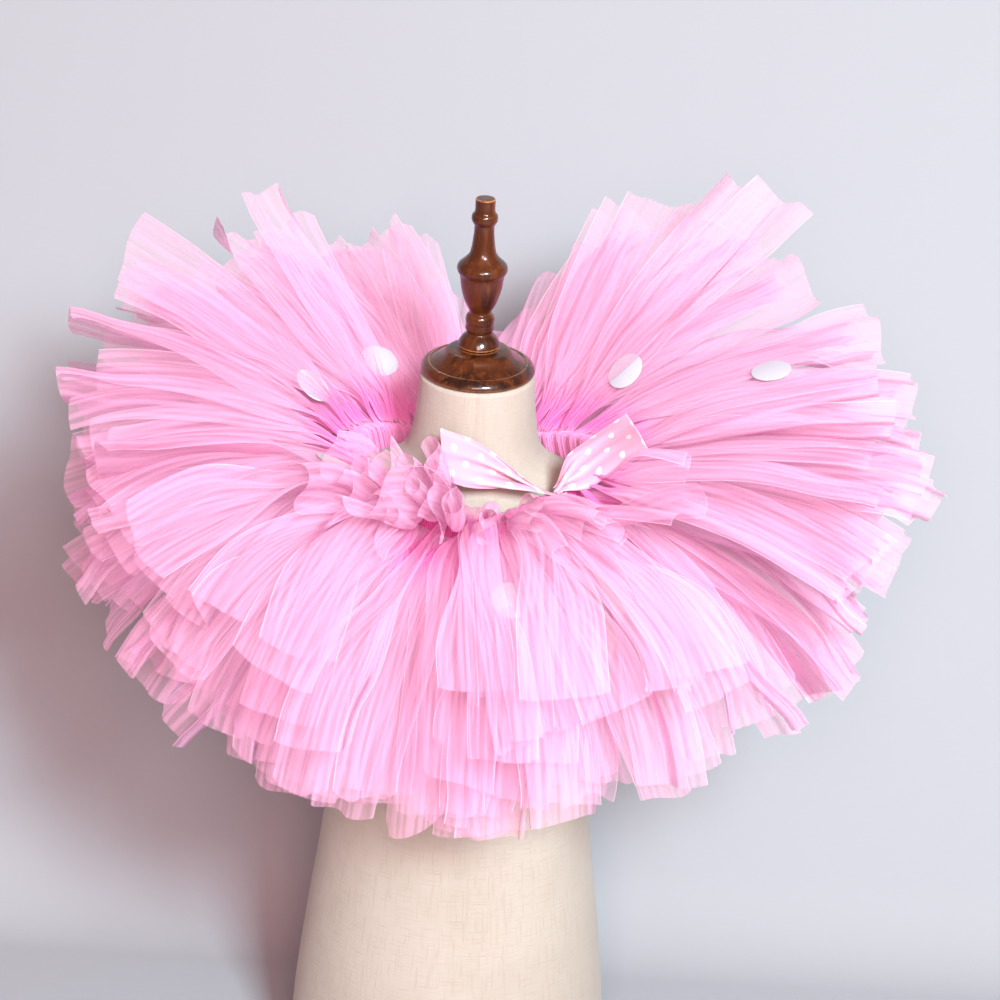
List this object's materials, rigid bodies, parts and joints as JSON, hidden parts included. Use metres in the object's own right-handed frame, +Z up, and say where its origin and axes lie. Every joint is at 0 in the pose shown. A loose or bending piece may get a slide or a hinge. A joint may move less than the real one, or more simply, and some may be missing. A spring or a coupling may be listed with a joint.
{
  "type": "knotted tulle tutu on a dress form",
  "caption": "Child's knotted tulle tutu with felt dots and a ribbon bow, worn round the neck base of a limbless linen dress form with a turned wooden knob.",
  "frame": {"origin": "centre of the dress form's flat underside, on the surface it stands on", "axes": "+Z up along the form, -Y towards the wearer's front, +X towards the wearer's left"},
  "size_m": [0.5602, 0.4782, 0.6722],
  "materials": {
    "linen": "cream linen, plain weave with slubs",
    "dark_wood": "dark walnut stain under gloss lacquer",
    "tulle": "fine pink nylon net, sheer",
    "elastic": "pink knitted elastic",
    "felt": "white felt",
    "satin": "pale pink satin ribbon with small white dots"
  },
  "bodies": {
    "root": {"dress_form": "linen", "neck_cap": "dark_wood", "finial": "dark_wood", "waistband_elastic": "elastic", "tulle_strip_01": "tulle", "tulle_strip_02": "tulle", "tulle_strip_03": "tulle", "tulle_strip_04": "tulle", "tulle_strip_05": "tulle", "tulle_strip_06": "tulle", "tulle_strip_07": "tulle", "tulle_strip_08": "tulle", "tulle_strip_09": "tulle", "tulle_strip_10": "tulle", "tulle_strip_11": "tulle", "tulle_strip_12": "tulle", "tulle_strip_13": "tulle", "tulle_strip_14": "tulle", "tulle_strip_15": "tulle", "tulle_strip_16": "tulle", "tulle_strip_17": "tulle", "tulle_strip_18": "tulle", "tulle_strip_19": "tulle", "tulle_strip_20": "tulle", "tulle_strip_21": "tulle", "tulle_strip_22": "tulle", "tulle_strip_23": "tulle", "tulle_strip_24": "tulle", "tulle_strip_26": "tulle", "tulle_strip_27": "tulle", "tulle_strip_28": "tulle", "felt_dot_01": "felt", "felt_dot_02": "felt", "felt_dot_03": "felt", "felt_dot_04": "felt", "felt_dot_05": "felt", "felt_dot_06": "felt", "felt_dot_07": "felt", "felt_dot_08": "felt", "felt_dot_09": "felt", "felt_dot_10": "felt", "felt_dot_11": "felt", "felt_dot_12": "felt", "ribbon_wrap": "satin", "ribbon_wing_right": "satin", "ribbon_wing_left": "satin", "ribbon_tail": "satin"}
  },
  "joints": []
}
